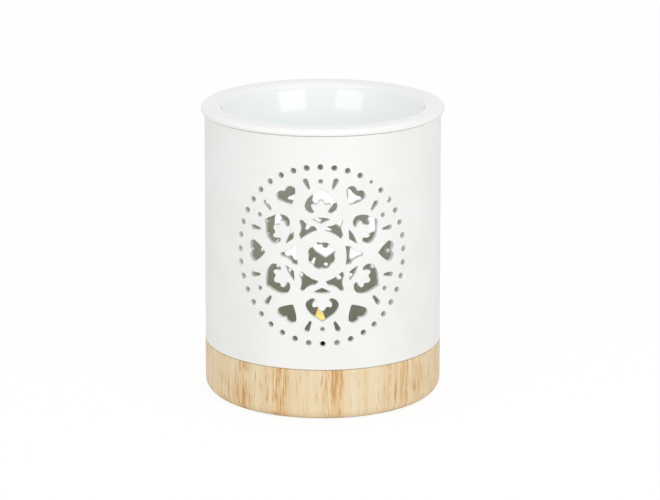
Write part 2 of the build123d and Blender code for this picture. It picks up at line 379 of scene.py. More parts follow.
def woodEffectGlaze(add):
    # ceramic print of pale timber under a satin clear glaze: smooth cream ground, soft tan clouds and, in
    # them, many fine brown dashes of grain; it is wrapped round the side as a sleeve, by turn and height
    coordinates = add("TexCoord")
    around = add("SeparateXYZ", {}, coordinates.outputs["UV"])
    turn = add("Math", {"operation": "MULTIPLY", 1: fullTurn}, around)
    across, beside = (add("Math", {"operation": part}, turn) for part in ("COSINE", "SINE"))
    level = add("Math", {"operation": "DIVIDE", 1: trayHigh[0]}, around.outputs["Y"])
    sleeve = add("CombineXYZ", {}, {"X": across, "Y": beside, "Z": level})
    place = add("VectorMath", {"operation": "SCALE", "Scale": trayHigh[0] * mm}, sleeve)
    mapped = add("ValToRGB", {"stops": woodPrint["crowding"]}, around)
    patch = add("TexNoise", woodPrint["patch"], place)
    fade = add("MapRange", woodPrint["fade"], patch)
    grains = []
    for width, length, detail in woodPrint["grains"]:
        upright = add("Mapping", {"Scale": (1, 1, width / length)}, place)
        grains.append(add("TexNoise", {"Scale": cells(width), "Detail": detail}, upright))
    band, streak, dash = grains
    ground = add("ValToRGB", {"stops": woodPrint["ground"]}, band)
    crowd = add("Math", {"operation": "MULTIPLY"}, {0: mapped, 1: fade})
    ragged = add("ValToRGB", {"stops": woodPrint["ragged"]}, streak)
    toTan = add("Math", {"operation": "MULTIPLY"}, {0: crowd, 1: ragged})
    dashLevel = add("Math", {"operation": "MULTIPLY_ADD", 1: woodPrint["crowdedDash"]}, {0: toTan, 2: dash})
    toBrown = add("ValToRGB", {"stops": woodPrint["dashes"]}, dashLevel)
    colour = ground.outputs[0]
    for ink, amount in (("tan", toTan), ("brown", toBrown)):
        colour = add("Mix", {"data_type": "RGBA", 7: woodPrint[ink]}, {0: amount, 6: colour}).outputs[2]
    swell = relief(add, coordinates.outputs["Object"], woodPrint["relief"])
    grain = add("Bump", {"Distance": woodPrint["grainDepth"] * mm}, {"Height": dash, "Normal": swell})
    return add("BsdfPrincipled", woodPrint["surface"], {"Base Color": colour, "Normal": grain})


whiteMatt, whiteGloss, ivoryClear, woodGlaze, bareClayAndSeamShade = [mixed(recipe) for recipe in (
    mattWhiteGlaze, glossWhiteGlaze, clearGlazedClay, woodEffectGlaze, bareClayAndSeamShadeBody)]
print("glazes mixed")


def finishPiece(piece, body, slot, nodes, *materials):
    for material in materials:
        piece.data.materials.append(material)
    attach(piece, body)
    if nodes:
        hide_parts(*nodes)
    print(piece.name, len(piece.data.polygons), "faces")


# Base tray

tray = {
    "corner": 5.0,  # outside edge at the bottom
    "wellCorner": 3.0,
    "edge": 0.45,
    "footRecess": 1.0,
    "footRingWidth": 7.0,
    "floor": 3.0,
    "lipWall": 2.4,
    "lipFoot": 0.25,  # glaze in the corner where the lip stands on the seat
    "ringFlat": 0.3,  # bare ring starts this far in from the foot's rounded edges
    "steps": 256,
}
shade = {
    "footInset": 0.1,  # from the tray's side in to the shade's foot
    "wall": 2.6,
    "taper": 0.5,  # fall in radius from foot to top
    "edge": 0.7,
    "fitClearance": 0.5,  # to the tray's lip
    "bareSeamShadeEdge": 0.3,  # height of both seats that is left unglazed, in the darker clay that paints the shade of the seam lines
}
trayRadius, traySeat = trayHigh[0], shadeLow[2]
shadeFootRadius = trayRadius - shade["footInset"]
shadeTopRadius = shadeFootRadius - shade["taper"]
lipRadius = shadeFootRadius - shade["wall"] - shade["fitClearance"]
wellRadius = lipRadius - tray["lipWall"]
wellFloor = tray["footRecess"] + tray["floor"]


def makeTray():
    ringInside, edge, flat = trayRadius - tray["footRingWidth"], tray["edge"], tray["ringFlat"]
    ringStart, ringEnd = ringInside + edge + flat, trayRadius - tray["corner"] - flat
    underSeat = lipRadius + shade["wall"] / 2
    underside = roundedPath([(0, tray["footRecess"], 0), (ringInside, tray["footRecess"], edge),
                             (ringInside, 0, edge), (ringStart, 0, 0)])
    foot = roundedPath([(ringStart, 0, 0), (ringEnd, 0, 0)])
    outside = roundedPath([(ringEnd, 0, 0), (trayRadius, 0, tray["corner"]), (trayRadius, traySeat, edge),
                           (underSeat, traySeat, 0)])
    top = roundedPath([(underSeat, traySeat, 0), (lipRadius, traySeat, tray["lipFoot"]),
                       (lipRadius, trayHigh[2], edge), (wellRadius, trayHigh[2], edge),
                       (wellRadius, wellFloor, tray["wellCorner"]), (0, wellFloor, 0)])
    parts, materials = (underside, foot, outside, top), (1, 2, 0, 1)
    numbers = np.repeat(materials, [len(part[0]) for part in parts])
    piece = turnedPiece("trayGlazed", joined(*parts), tray["steps"], numbers)
    finishPiece(piece, "tray", "wood_effect_glaze", ["base_tray"], woodGlaze, ivoryClear, bareClayAndSeamShade)


makeTray()


# Oil dish

dish = {
    "rimBand": 4.15,  # from the rim's outer edge in to its crest
    "rimRoll": 1.6, "rimRollSweep": 153,  # degrees, here and below
    "crownRadius": 7.0, "crownFall": 28,  # past its crest the rim falls gently towards the bowl
    "mouthRoll": 2.2, "bowlDraft": 6,  # and turns down into it
    "sideRadius": 41.0, "sideDraft": 25,  # the bowl's side is one long arc
    "bowlDepth": 26.0, "bowlFloor": 3.4,
    "underReach": 40.9, "underCorner": 18.2,  # outside of the bowl, underneath
    "underStep": 6,  # degrees of its corners between their points
    "collarHeight": 4.0, "collarCorner": 1.5,
    "fitClearance": 0.6,
    "seatFillet": 0.4,
    "rollSteps": 18, "topSteps": 10, "mouthSteps": 12, "bowlSteps": 16,
    "roundSteps": 288,
}


def arcFrom(start, radius, first, last, steps):
    # arc in degrees that goes on from start; the solid is inside it, or outside where the radius is negative
    normal = compass(np.radians(np.linspace(first, last, steps + 1)))
    return start + radius * (normal - normal[0]), normal


def tangentArc(start, normal, end, steps):
    # arc that leaves start square to its normal and ends at end; its centre lies on the normal's line
    chord = np.array(end) - start
    radius = -(chord @ chord) / (2 * (normal @ chord))
    centre = start - radius * normal
    turned = rotated(normal, np.linspace(0, turnBetween(start - centre, end - centre), steps + 1))
    return centre + radius * turned, turned


def makeDish():
    crest, seat, rimRadius = dishHigh[2], shadeHigh[2], dishHigh[0]
    rollEnd, crestPoint = rimRadius - dish["rimRoll"], (rimRadius - dish["rimBand"], crest)
    collarRadius = shadeTopRadius - shade["wall"] - dish["fitClearance"]
    floor = crest - dish["bowlDepth"]
    below = floor - dish["bowlFloor"]
    under = roundedPath([
        (0, below, 0),
        (dish["underReach"], below, dish["underCorner"]),
        (collarRadius, seat - dish["collarHeight"], dish["collarCorner"]),
        (collarRadius, seat, dish["seatFillet"]),
        (rollEnd, seat, 0)], dish["underStep"])
    rim = arcFrom((rollEnd, seat), dish["rimRoll"], -90, dish["rimRollSweep"] - 90, dish["rollSteps"])
    top = tangentArc(rim[0][-1], rim[1][-1], crestPoint, dish["topSteps"])
    turn, facing, rising = 90 + dish["crownFall"], 180 - dish["bowlDraft"], 180 - dish["sideDraft"]
    crown = arcFrom(crestPoint, dish["crownRadius"], 90, turn, dish["topSteps"])
    mouth = arcFrom(crown[0][-1], dish["mouthRoll"], turn, facing, dish["mouthSteps"])
    side = arcFrom(mouth[0][-1], -dish["sideRadius"], facing, rising, dish["bowlSteps"])
    corner = (side[0][-1, 1] - floor) / (1 - math.sin(math.radians(dish["sideDraft"])))
    bowl = arcFrom(side[0][-1], -corner, rising, 90, dish["bowlSteps"])
    middle = np.array([[0, floor]]), np.array([[0, 1.0]])
    profile = joined(under, rim, top, crown, mouth, side, bowl, middle)
    # the seat ring under the rim is bare clay, in the darker tone that paints the shade of the seam under the
    # rim
    bare = np.zeros(len(profile[0]), int)
    bare[:len(under[0])] = np.abs(under[0][:, 1] - seat) < weldStep
    piece = turnedPiece("dishGlazed", profile, dish["roundSteps"], bare)
    finishPiece(piece, "dish", "gloss_white_glaze", ["oil_dish"], whiteGloss, bareClayAndSeamShade)


makeDish()


# Pierced shade

rosette = {
    "drop": 0.5,  # from the middle of the shade's height down to the front centre
    "backTurn": 0.6,  # degrees that the rosette behind stands round from square
    "backRise": 0.6,  # and how much higher it stands
    "lean": 0.37,  # degrees that both lean to the left, as seen from the front
    "folds": 6,
    "skew": 0.007,  # both are drawn out that much towards the lower right, seen so too
    "narrowing": 0.0006,  # and get narrower upwards, as a share for each millimetre
    "stretch": 1.006,  # and are a little taller than wide
    "beads": 40, "beadCircle": 37.1, "beadDiameter": 2.4,
    "beadDrop": 0.2,  # the ring of beads stands a little lower than the rest
    "dotCircle": 31.0, "dotDiameter": 1.95,
    "dropCircle": 30.4, "dropAngle": 11.0, "dropLean": 13.0,
    "dropLength": 4.8, "dropWide": 2.15, "dropNarrow": 1.15,
    "heartTip": 24.2, "heartSize": (8.9, 7.5),
    "scrollTip": 27.8, "scrollSize": (13.2, 9.8),
    "triangleApex": 13.4, "triangleSize": (7.3, 2.5),
    "arrowBase": 10.0, "arrowSize": (8.0, 7.3),
    "petals": 8, "petalDiameter": 4.5, "petalCircle": 3.5,
    "softness": 0.12,  # glaze rounds the outlines' corners by about this much
    "outerEdge": 0.42, "innerEdge": 0.3,  # glazed rounding of every cut edge
    "outerLevels": (0, 22, 45, 67, 90), "innerLevels": (0, 45, 90),  # degrees round that edge
    "nearest": 0.98,  # a ring's point stays if it keeps this share of its way from the outline
    "spacing": 0.42,  # between the points of an outline
    "wander": 0.05, "swell": 0.02,  # unevenness of cutting by hand: in place, and as a share of size
    "most": 3,  # in those units, the furthest that a cut-out strays
    "filledBead": 6, "filledShare": 0.62, # one bead is partly closed by glaze
    "seed": 11,
    "halfSteps": 96, "rows": 33,  # grid of a half skin
    "clearance": 1.1,  # between the grid's loose points and a cut-out's edge
}
skinSlope = shade["taper"] / (shadeHigh[2] - shadeLow[2])

# Half outlines, from the tip to the far end: shares of a cut-out's width across its axis
# and of its length along it; each run goes on from the end of the one before, with its end alone for a
# line, or with the point that its arc goes through first
heartOutline = [[(0, 0)], [(0.30, 0.33), (0.50, 0.65)], [(0.27, 1.00), (0, 0.83)]]
scrollOutline = [
    [(0, 0)],
    [(0.32, 0.29)],
    [(0.435, 0.475), (0.50, 0.71)],
    [(0.43, 0.92), (0.32, 1.00)],
    [(0.225, 0.975), (0.21, 0.92)],
    [(0.268, 0.83), (0.303, 0.723)],
    [(0.285, 0.648), (0.228, 0.624)],
    [(0.148, 0.653)],
    [(0.098, 0.589)],
    [(0.068, 0.505), (0, 0.47)],
]
triangleOutline = [[(0, 0)], [(0.50, 0.74)], [(0.25, 0.94), (0, 1)]]
arrowOutline = [[(0, 0.065)], [(0.25, 0.05), (0.50, 0)], [(0.47, 0.29)], [(0.225, 0.52), (0.12, 0.81)],
                [(0.085, 0.935), (0, 1)]]


def alongRun(run, count=24):
    # even points of a line, or of the circular arc through three points, without its last one
    share = np.linspace(0, 1, count + 1)[:-1, None]
    start, end = run[0], run[-1]
    if len(run) == 2:
        return start + share * (end - start)
    p, q = run[1] - start, end - start
    cross = p[0] * q[1] - p[1] * q[0]
    centre = start + (q[::-1] * (p @ p) - p[::-1] * (q @ q)) * (1, -1) / (2 * cross)
    first = start - centre
    sweep = turnBetween(first, end - centre) % fullTurn
    if cross < 0:
        sweep -= fullTurn
    return centre + rotated(first, share[:, 0] * sweep)


def mirrored(half):
    # closed loop from its right half, whose two ends stand on the axis
    return np.concatenate([half, half[-2:0:-1] * (-1, 1)])


def outlineLoop(outline, size):
    # anticlockwise loop, centred on its axis, from half an outline
    width, length = size
    runs = [np.array([*before[-1:], *run], float) * (width, length) - (0, length / 2)
            for before, run in zip(outline, outline[1:])]
    return mirrored(np.concatenate([alongRun(run) for run in runs] + [runs[-1][-1:]]))


def dropLoop(count=40):
    # drop whose wide end is up: two circles and the lines that touch both
    wide, narrow, length = rosette["dropWide"] / 2, rosette["dropNarrow"] / 2, rosette["dropLength"]
    angle = np.linspace(-halfTurn / 2, halfTurn / 2, count + 1)
    low = angle < -math.asin((wide - narrow) / (length - wide - narrow))
    half = np.where(low, narrow, wide)[:, None] * compass(angle)
    half[:, 1] += np.where(low, narrow - length / 2, length / 2 - wide)
    return mirrored(half)


def petalLoop(count=320):
    # scalloped opening: distance to the far side of the nearest petal's circle, in each direction
    angle = np.linspace(0, fullTurn, count, endpoint=False)
    step = fullTurn / rosette["petals"]
    fromPetal = angle % step - step / 2
    reach, petal = rosette["petalCircle"], rosette["petalDiameter"] / 2
    radius = reach * np.cos(fromPetal) + np.sqrt(petal ** 2 - (reach * np.sin(fromPetal)) ** 2)
    return radius[:, None] * compass(angle)


def roundLoop(diameter, count=48):
    return diameter / 2 * compass(np.linspace(0, fullTurn, count, endpoint=False))


def softened(loop, fewest=18, finer=8):
    # even spacing along the loop, then its sharpest waves taken out, which rounds the corners
    closed = np.concatenate([loop, loop[:1]])
    along = np.concatenate([[0], np.cumsum(np.linalg.norm(np.diff(closed, axis=0), axis=1))])
    count = max(fewest, round(along[-1] / rosette["spacing"]))
    even = np.linspace(0, along[-1], finer * count, endpoint=False)
    wave = np.interp(even, along, closed[:, 0]) + 1j * np.interp(even, along, closed[:, 1])
    rate = fullTurn * np.fft.fftfreq(len(wave), along[-1] / len(wave))
    wave = np.fft.ifft(np.fft.fft(wave) * np.exp(-0.5 * (rosette["softness"] * rate) ** 2))[::finer]
    return np.stack([wave.real, wave.imag], 1)


def wallRadius(height, depth=0.0):
    # radius of the tapered wall, that far below its outer skin
    return shadeFootRadius - skinSlope * (height - shadeLow[2]) - depth


def makeHoles(luck, turn, rise, facing):
    # each hole is its loop in its own plane, turned to its place, and its centre's azimuth and height
    heart, scroll, triangle, arrow = [
        softened(outlineLoop(outline, rosette[name + "Size"]) * way) for name, outline, way in (
            ("heart", heartOutline, 1), ("scroll", scrollOutline, -1),
            ("triangle", triangleOutline, 1), ("arrow", arrowOutline, 1))]
    dot, bead = [softened(roundLoop(rosette[name + "Diameter"])) for name in ("dot", "bead")]
    drop = softened(dropLoop())
    centre = (shadeLow[2] + shadeHigh[2]) / 2 - rosette["drop"] + rise
    lean, skew = facing * math.radians(rosette["lean"]), facing * rosette["skew"]
    placed = [(softened(petalLoop()), 0, 0, 0)]
    for number in range(rosette["beads"]):
        filled = rosette["filledShare"] if number == rosette["filledBead"] and not rise else 1
        placed.append((bead * filled, fullTurn * number / rosette["beads"], rosette["beadCircle"], 0))
    spread, tip = math.radians(rosette["dropAngle"]), math.radians(rosette["dropLean"])
    for fold in range(rosette["folds"]):
        plain = fullTurn * fold / rosette["folds"]
        axis = plain + halfTurn / rosette["folds"]
        placed += [
            (heart, plain, rosette["heartTip"] + rosette["heartSize"][1] / 2, 0),
            (arrow, plain, rosette["arrowBase"] + rosette["arrowSize"][1] / 2, 0),
            (scroll, axis, rosette["scrollTip"] - rosette["scrollSize"][1] / 2, 0),
            (triangle, axis, rosette["triangleApex"] + rosette["triangleSize"][1] / 2, 0),
            (dot, axis, rosette["dotCircle"], 0),
            (drop, axis + spread, rosette["dropCircle"], tip),
            (drop, axis - spread, rosette["dropCircle"], -tip),
        ]
    holes = []
    for loop, square, distance, tilt in placed:
        angle = square + lean
        stray = luck.normal(0, 1, 4).clip(-rosette["most"], rosette["most"])
        across, up = distance * compass(angle) + rosette["wander"] * stray[:2]
        up -= rosette["beadDrop"] if distance == rosette["beadCircle"] else 0
        narrowed = across * (1 - rosette["narrowing"] * up)
        across, up = narrowed - skew * up, up - skew * across
        plane = rotated(loop * (1 + rosette["swell"] * stray[2:]), angle - halfTurn / 2 + tilt)
        height = centre + rosette["stretch"] * up
        holes.append((plane, across / wallRadius(height) - math.radians(turn), height))
    return holes


def onWall(plane, azimuth, height, depth):
    # a point of a hole's plane carried square through the wall to that depth
    level = height + plane[:, 1]
    radius = wallRadius(level, depth)
    return azimuth + np.arcsin(plane[:, 0] / radius), level, radius


def inSpace(azimuth, level, radius):
    return np.stack([radius * np.sin(azimuth), -radius * np.cos(azimuth), level], 1)


def skinNormal(azimuth, outside):
    # outward from the tapered wall, or into the shade on its inner skin
    return inSpace(azimuth, np.full(len(azimuth), skinSlope), 1) * (1 if outside else -1)


def edgeLoops(hole, edge, levels, outside, finer=6):
    # rings of a rounded cut edge from the hole's wall, level 0, to the skin, level 90 degrees:
    # they stand edge (1 - cos) back from the hole and edge (1 - sin) below the skin;
    # points of a ring that come nearer to another part of the outline are left out
    plane, azimuth, height = hole
    after = np.roll(plane, -1, axis=0)
    tangent = unit(after - np.roll(plane, 1, axis=0))
    away = np.stack([tangent[:, 1], -tangent[:, 0]], 1)
    rightward = np.array([math.cos(azimuth), math.sin(azimuth), 0])
    upward = np.array([0, 0, 1.0])
    share = np.arange(finer)[:, None, None] / finer
    outline = (plane + share * (after - plane)).reshape(-1, 2)
    rings = []
    for level in np.radians(levels):
        back = edge * (1 - math.cos(level))
        ring = plane + back * away
        gap = np.linalg.norm(ring[:, None] - outline[None], axis=2).min(axis=1)
        clear = gap >= rosette["nearest"] * back
        depth = edge * (1 - math.sin(level))
        place = onWall(ring[clear], azimuth, height, depth if outside else shade["wall"] - depth)
        holeward = -away[clear, :1] * rightward - away[clear, 1:] * upward
        rings.append((place, math.cos(level) * holeward + math.sin(level) * skinNormal(place[0], outside)))
    return rings


def makeSkin(holes, outside, low, high):
    # half of one skin, flattened to arc length and height and filled by a constrained triangulation
    # of its border, the rings round each hole and a loose grid of points between them
    side, depth = ("outer", 0) if outside else ("inner", shade["wall"])
    steps, rows, quarter = rosette["halfSteps"], rosette["rows"], halfTurn / 2
    sideways, upward = np.linspace(-quarter, quarter, steps + 1), np.linspace(low, high, rows + 1)
    borders = [(sideways[:-1], np.full(steps, low)), (np.full(rows, quarter), upward[:-1]),
               (sideways[:0:-1], np.full(steps, high)), (np.full(rows, -quarter), upward[:0:-1])]
    azimuth, level = (np.concatenate(part) for part in zip(*borders))
    parts = [(azimuth, level, wallRadius(level, depth), skinNormal(azimuth, outside))]
    chains, faces, total = [np.arange(len(azimuth))], [], len(azimuth)
    for hole in holes:
        rings = edgeLoops(hole, rosette[side + "Edge"], rosette[side + "Levels"], outside)
        for number, (place, slope) in enumerate(rings):
            chain = np.arange(total, total + len(slope))
            total += len(slope)
            parts.append((*place, slope))
            if number == 0:
                faces.append(chain.tolist())
            else:
                chains.append(chain)
    scale = wallRadius((low + high) / 2, depth)
    flat = np.concatenate([np.stack([part[0] * scale, part[1]], 1) for part in parts])
    across, up = (axis.ravel() for axis in np.meshgrid(sideways[1:-1:2], upward[1:-1]))
    nearest = np.concatenate([np.linalg.norm(some[:, None] - flat[None], axis=2).min(axis=1)
                              for some in np.array_split(np.stack([across * scale, up], 1), rows)])
    across, up = across[nearest > rosette["clearance"]], up[nearest > rosette["clearance"]]
    parts.append((across, up, wallRadius(up, depth), skinNormal(across, outside)))
    azimuth, level, radius, normal = joined(*parts)
    plan = np.stack([azimuth * scale, level], 1)
    edges = np.concatenate([np.stack([chain, np.roll(chain, -1)], 1) for chain in chains])
    made, _, filled, _, _, inside = delaunay_2d_cdt(plan.tolist(), edges.tolist(), faces, 0, fillStep)
    print(side, "skin points", len(plan), "after filling", len(made))
    triangles = np.array([face for face, parents in zip(filled, inside) if not parents])
    a, b, c = (plan[triangles[:, k]] for k in range(3))
    area = (b - a)[:, 0] * (c - a)[:, 1] - (b - a)[:, 1] * (c - a)[:, 0]
    flipped = area < 0 if outside else area > 0
    triangles[flipped] = triangles[flipped][:, ::-1]
    return inSpace(azimuth, level, radius), normal, triangles[np.abs(area) > leastArea]


def gathered(meshes):
    # one mesh of several: points, normals and triangles
    starts = np.cumsum([0] + [len(mesh[0]) for mesh in meshes[:-1]])
    points, normals = (np.concatenate([mesh[k] for mesh in meshes]) for k in (0, 1))
    return points, normals, np.concatenate([mesh[2] + start for mesh, start in zip(meshes, starts)])


def makeHoleWalls(holes):
    # straight walls from the outer edge's first ring to the inner edge's
    meshes = []
    for hole in holes:
        outer, slope = edgeLoops(hole, rosette["outerEdge"], (0,), True)[0]
        inner = edgeLoops(hole, rosette["innerEdge"], (0,), False)[0][0]
        here = np.arange(len(slope))
        after, below = np.roll(here, -1), here + len(slope)
        triangles = [np.stack([here, after, below], 1), np.stack([after, after + len(slope), below], 1)]
        points = np.concatenate([inSpace(*outer), inSpace(*inner)])
        meshes.append((points, np.concatenate([slope, slope]), np.concatenate(triangles)))
    return gathered(meshes)


def makeShade():
    low, high, wall, edge = shadeLow[2], shadeHigh[2], shade["wall"], shade["edge"]
    middle = (low + high) / 2
    inside, outside = (wallRadius(middle, wall), middle, 0), (wallRadius(middle), middle, 0)
    foot = roundedPath([inside, (wallRadius(low, wall), low, edge), (wallRadius(low), low, edge), outside])
    crown = roundedPath([outside, (wallRadius(high), high, edge), (wallRadius(high, wall), high, edge),
                         inside])
    foot, crown = ([part[1:-1] for part in rim] for rim in (foot, crown))
    meshes, numbers = [], []
    for rim, end in ((foot, low), (crown, high)):
        mesh = turnedSurface(*rim, 2 * rosette["halfSteps"])
        # rows next to each seat get the darker bare clay, which paints the shade of the seam line there
        bare = np.abs(mesh[0][mesh[2], 2].mean(axis=1) - end) < shade["bareSeamShadeEdge"]
        meshes.append(mesh)
        numbers.append(np.where(bare, 2, 0))
    luck = np.random.default_rng(rosette["seed"])
    for facing, turn, rise in ((1, 0, 0), (-1, rosette["backTurn"], rosette["backRise"])):
        holes = makeHoles(luck, turn, rise, facing)
        about = np.array([facing, facing, 1])
        for (points, normals, triangles), number in (
                (makeSkin(holes, True, foot[0][-1, 1], crown[0][0, 1]), 0),
                (makeSkin(holes, False, foot[0][0, 1], crown[0][-1, 1]), 1),
                (makeHoleWalls(holes), 0)):
            meshes.append((points * about, normals * about, triangles))
            numbers.append(np.full(len(triangles), number))
    points, normals, triangles = gathered(meshes)
    piece = makePiece("shadePierced", points, triangles, normals, finish=np.concatenate(numbers))
    finishPiece(piece, "shade", "matt_white_ceramic", ["pierced_shade"], whiteMatt, ivoryClear, bareClayAndSeamShade)


makeShade()


# Tea light

tealight = {
    "cupDraft": 1.5, "cupSheet": 0.4, "cupBead": 1.0, "cupCorner": 1.2,
    "beadOuter": 0.45, "beadUnder": 0.35, "beadInner": 0.2, "neck": 0.12,
    "flutes": 54, "fluteDepth": 0.16, "stepsPerFlute": 6, "fluteRows": 12,
    "waxClearance": 0.15, "waxEdge": 0.08, "waxSteps": 144,
    "poolRadius": 12.0, "poolDepth": 0.7,  # molten while the wick burns
    "shore": 2.0, "shoreRounding": 2.0,  # slope at the pool's edge
    "rimWidth": 1.0, "rimRounding": 2.5, "meniscus": 0.35,  # wax clings to the cup a little higher
    "wickRise": 0.25, "wickSlope": 1.2, "wickRounding": 1.5,  # and to the wick
    "wickDiameter": 1.7, "wickStraight": 14.0, "wickBendRadius": 12.0, "wickBend": 24.0,
    "wickRows": 110, "wickSides": 36,
    "tipFrom": 0.955,  # share of the wick's length where its blunt tip begins
    "sustainerDiameter": 12.0, "sustainerSheet": 0.4, "sustainerCollar": 5.0, "sustainerClearance": 0.1,
    "strands": 4, "plait": 1.9, "plaitDepth": 0.1,
    "charFrom": 1.5, "charTo": 3.0,  # above the wax
}
foil = {
    "tones": [(0, "#C4C6C8"), (1, "#DCDDDE")],
    "fine": {"Scale": cells(0.5), "Detail": 3}, "stretch": 8, "fineDepth": 0.006,  # drawn streaks
    "coarse": {"Scale": cells(3.0)}, "coarseDepth": 0.03,  # creases
    "shine": [(0.3, 0.22), (0.7, 0.4)],  # level of the coarse pattern, and how rough it is there
}
steel = {
    "tones": [(0, "#B4B5B3"), (1, "#C9CAC8")],
    "fine": {"Scale": cells(1.5), "Detail": 3}, "stretch": 1, "fineDepth": 0.0,
    "coarse": {"Scale": cells(1.5), "Detail": 3}, "coarseDepth": 0.01,
    "shine": [(0.3, 0.3), (0.7, 0.5)],
}
paraffin = {
    "tones": [(0, "#E6E0CC"), (1, "#F6F3EA")],  # molten and cloudy
    "coast": {"Scale": cells(5.0)}, "coastShift": 2.0,  # the pool's edge is uneven
    "within": 1.0, "beyond": 1.5,  # from its edge in to clear wax, and out to cloudy
    "roughness": {"To Min": 0.08, "To Max": 0.45},
    "relief": ({"Scale": cells(1.5), "Detail": 3}, 0.02),
    "surface": {"IOR": 1.44, "Subsurface Weight": 0.5, "Subsurface Radius": (1.0, 0.8, 0.6),
                "Subsurface Scale": 2 * mm},
}
cotton = {
    "tones": [(0, "#E4DAC4"), (1, "#0E0B09")],  # waxed and burnt
    "char": {"Scale": cells(1.2)}, "charShift": 1.5,  # the burnt edge is uneven
    "relief": ({"Scale": cells(0.25), "Detail": 3}, 0.04),
    "surface": {"Roughness": 0.9},
}
cupFloor, cupTop, waxTop, wickFoot = waxLow[2], cupHigh[2], waxHigh[2], wickLow[2]
cupMouth = cupHigh[0] - tealight["cupBead"]
wickRadius, wickLean = tealight["wickDiameter"] / 2, math.radians(tealight["wickBend"])
wickEnd = -tealight["wickBendRadius"] * (1 - math.cos(wickLean))


def cupBore(height):
    return cupMouth - (cupTop - height) * math.tan(math.radians(tealight["cupDraft"]))


def metal(add, finish):
    # bare metal: the fine pattern shows in its tone, the coarse one in its shine, and both in its relief
    place = add("TexCoord").outputs["Object"]
    upright = add("Mapping", {"Scale": (1, 1, 1 / finish["stretch"])}, place)
    fine, coarse = add("TexNoise", finish["fine"], upright), add("TexNoise", finish["coarse"], place)
    colour = add("ValToRGB", {"stops": finish["tones"]}, fine)
    rough = add("ValToRGB", {"stops": finish["shine"]}, coarse)
    folds = add("Bump", {"Distance": finish["coarseDepth"] * mm}, {"Height": coarse})
    lines = add("Bump", {"Distance": finish["fineDepth"] * mm}, {"Height": fine, "Normal": folds})
    links = {"Base Color": colour, "Roughness": rough, "Normal": lines}
    return add("BsdfPrincipled", {"Metallic": 1.0}, links)


def pressedAluminium(add):
    # drawn aluminium foil: bright, finely streaked round the cup by the press
    return metal(add, foil)


def tinnedSteel(add):
    # thin tinned steel stamping, dull and faintly mottled
    return metal(add, steel)


def candleWax(add):
    # paraffin: melted, clear and shiny round the burning wick, cloudy and waxy by the wall
    place = add("TexCoord").outputs["Object"]
    coast = add("TexNoise", paraffin["coast"], place)
    shift = {"operation": "MULTIPLY_ADD", 1: paraffin["coastShift"] * mm}
    ragged = add("Math", shift, {0: coast, 2: axisDistance(add, place)})
    span = {"From Min": (tealight["poolRadius"] - paraffin["within"]) * mm,
            "From Max": (tealight["poolRadius"] + paraffin["beyond"]) * mm}
    solid = add("MapRange", span, ragged)
    colour = add("ValToRGB", {"stops": paraffin["tones"]}, solid)
    rough = add("MapRange", paraffin["roughness"], solid)
    uneven = relief(add, place, paraffin["relief"])
    links = {"Base Color": colour, "Roughness": rough, "Normal": uneven}
    return add("BsdfPrincipled", paraffin["surface"], links)


def braidedCotton(add):
    # waxed cotton braid, pale and fibrous, charred matt black where it has burnt
    place = add("TexCoord").outputs["Object"]
    height = add("SeparateXYZ", {}, place).outputs["Z"]
    char = add("TexNoise", cotton["char"], place)
    shift = {"operation": "MULTIPLY_ADD", 1: cotton["charShift"] * mm}
    level = add("Math", shift, {0: char, 2: height})
    span = {"From Min": (waxTop + tealight["charFrom"]) * mm, "From Max": (waxTop + tealight["charTo"]) * mm}
    burnt = add("MapRange", span, level)
    colour = add("ValToRGB", {"stops": cotton["tones"]}, burnt)
    fuzz = relief(add, place, cotton["relief"])
    return add("BsdfPrincipled", cotton["surface"], {"Base Color": colour, "Normal": fuzz})


def makeCup():
    sheet, bead, corner = tealight["cupSheet"], tealight["cupBead"], tealight["cupCorner"]
    foot, neck = cupBore(cupFloor) + sheet, cupBore(cupTop - bead) + sheet
    below = roundedPath([(0, cupLow[2], 0), (foot, cupLow[2], corner), (neck, cupTop - bead, 0)])
    above = roundedPath([
        (foot, cupLow[2], 0), (neck, cupTop - bead, tealight["neck"]),
        (cupHigh[0], cupTop - bead, tealight["beadUnder"]), (cupHigh[0], cupTop, tealight["beadOuter"]),
        (cupMouth, cupTop, tealight["beadInner"]), (cupBore(cupFloor), cupFloor, corner - sheet),
        (0, cupFloor, 0)])
    below, above = [part[:-1] for part in below], [part[1:] for part in above]
    share = np.linspace(0, 1, tealight["fluteRows"])[1:-1, None]
    side = (below[0][-1] + share * (above[0][0] - below[0][-1]), np.repeat(below[1][-1:], len(share), axis=0))
    points, normals = joined(below, side, above)
    deep = np.zeros(len(points))
    fluted = slice(len(below[0]), len(below[0]) + len(share))
    deep[fluted] = tealight["fluteDepth"] * np.sqrt(np.sin(halfTurn * share[:, 0]))
    steps = tealight["flutes"] * tealight["stepsPerFlute"]
    angle, outward = roundAxis(steps)
    place = turnedSurface(points, normals, steps)[0].reshape(len(points), steps + 1, 3)
    flute = deep[:, None] * (0.5 - 0.5 * np.cos(tealight["flutes"] * angle))
    piece = gridPiece("tealightCup", place - flute[:, :, None] * outward)
    finishPiece(piece, "tealight", "pressed_aluminium", ["tealight_cup"], mixed(pressedAluminium))


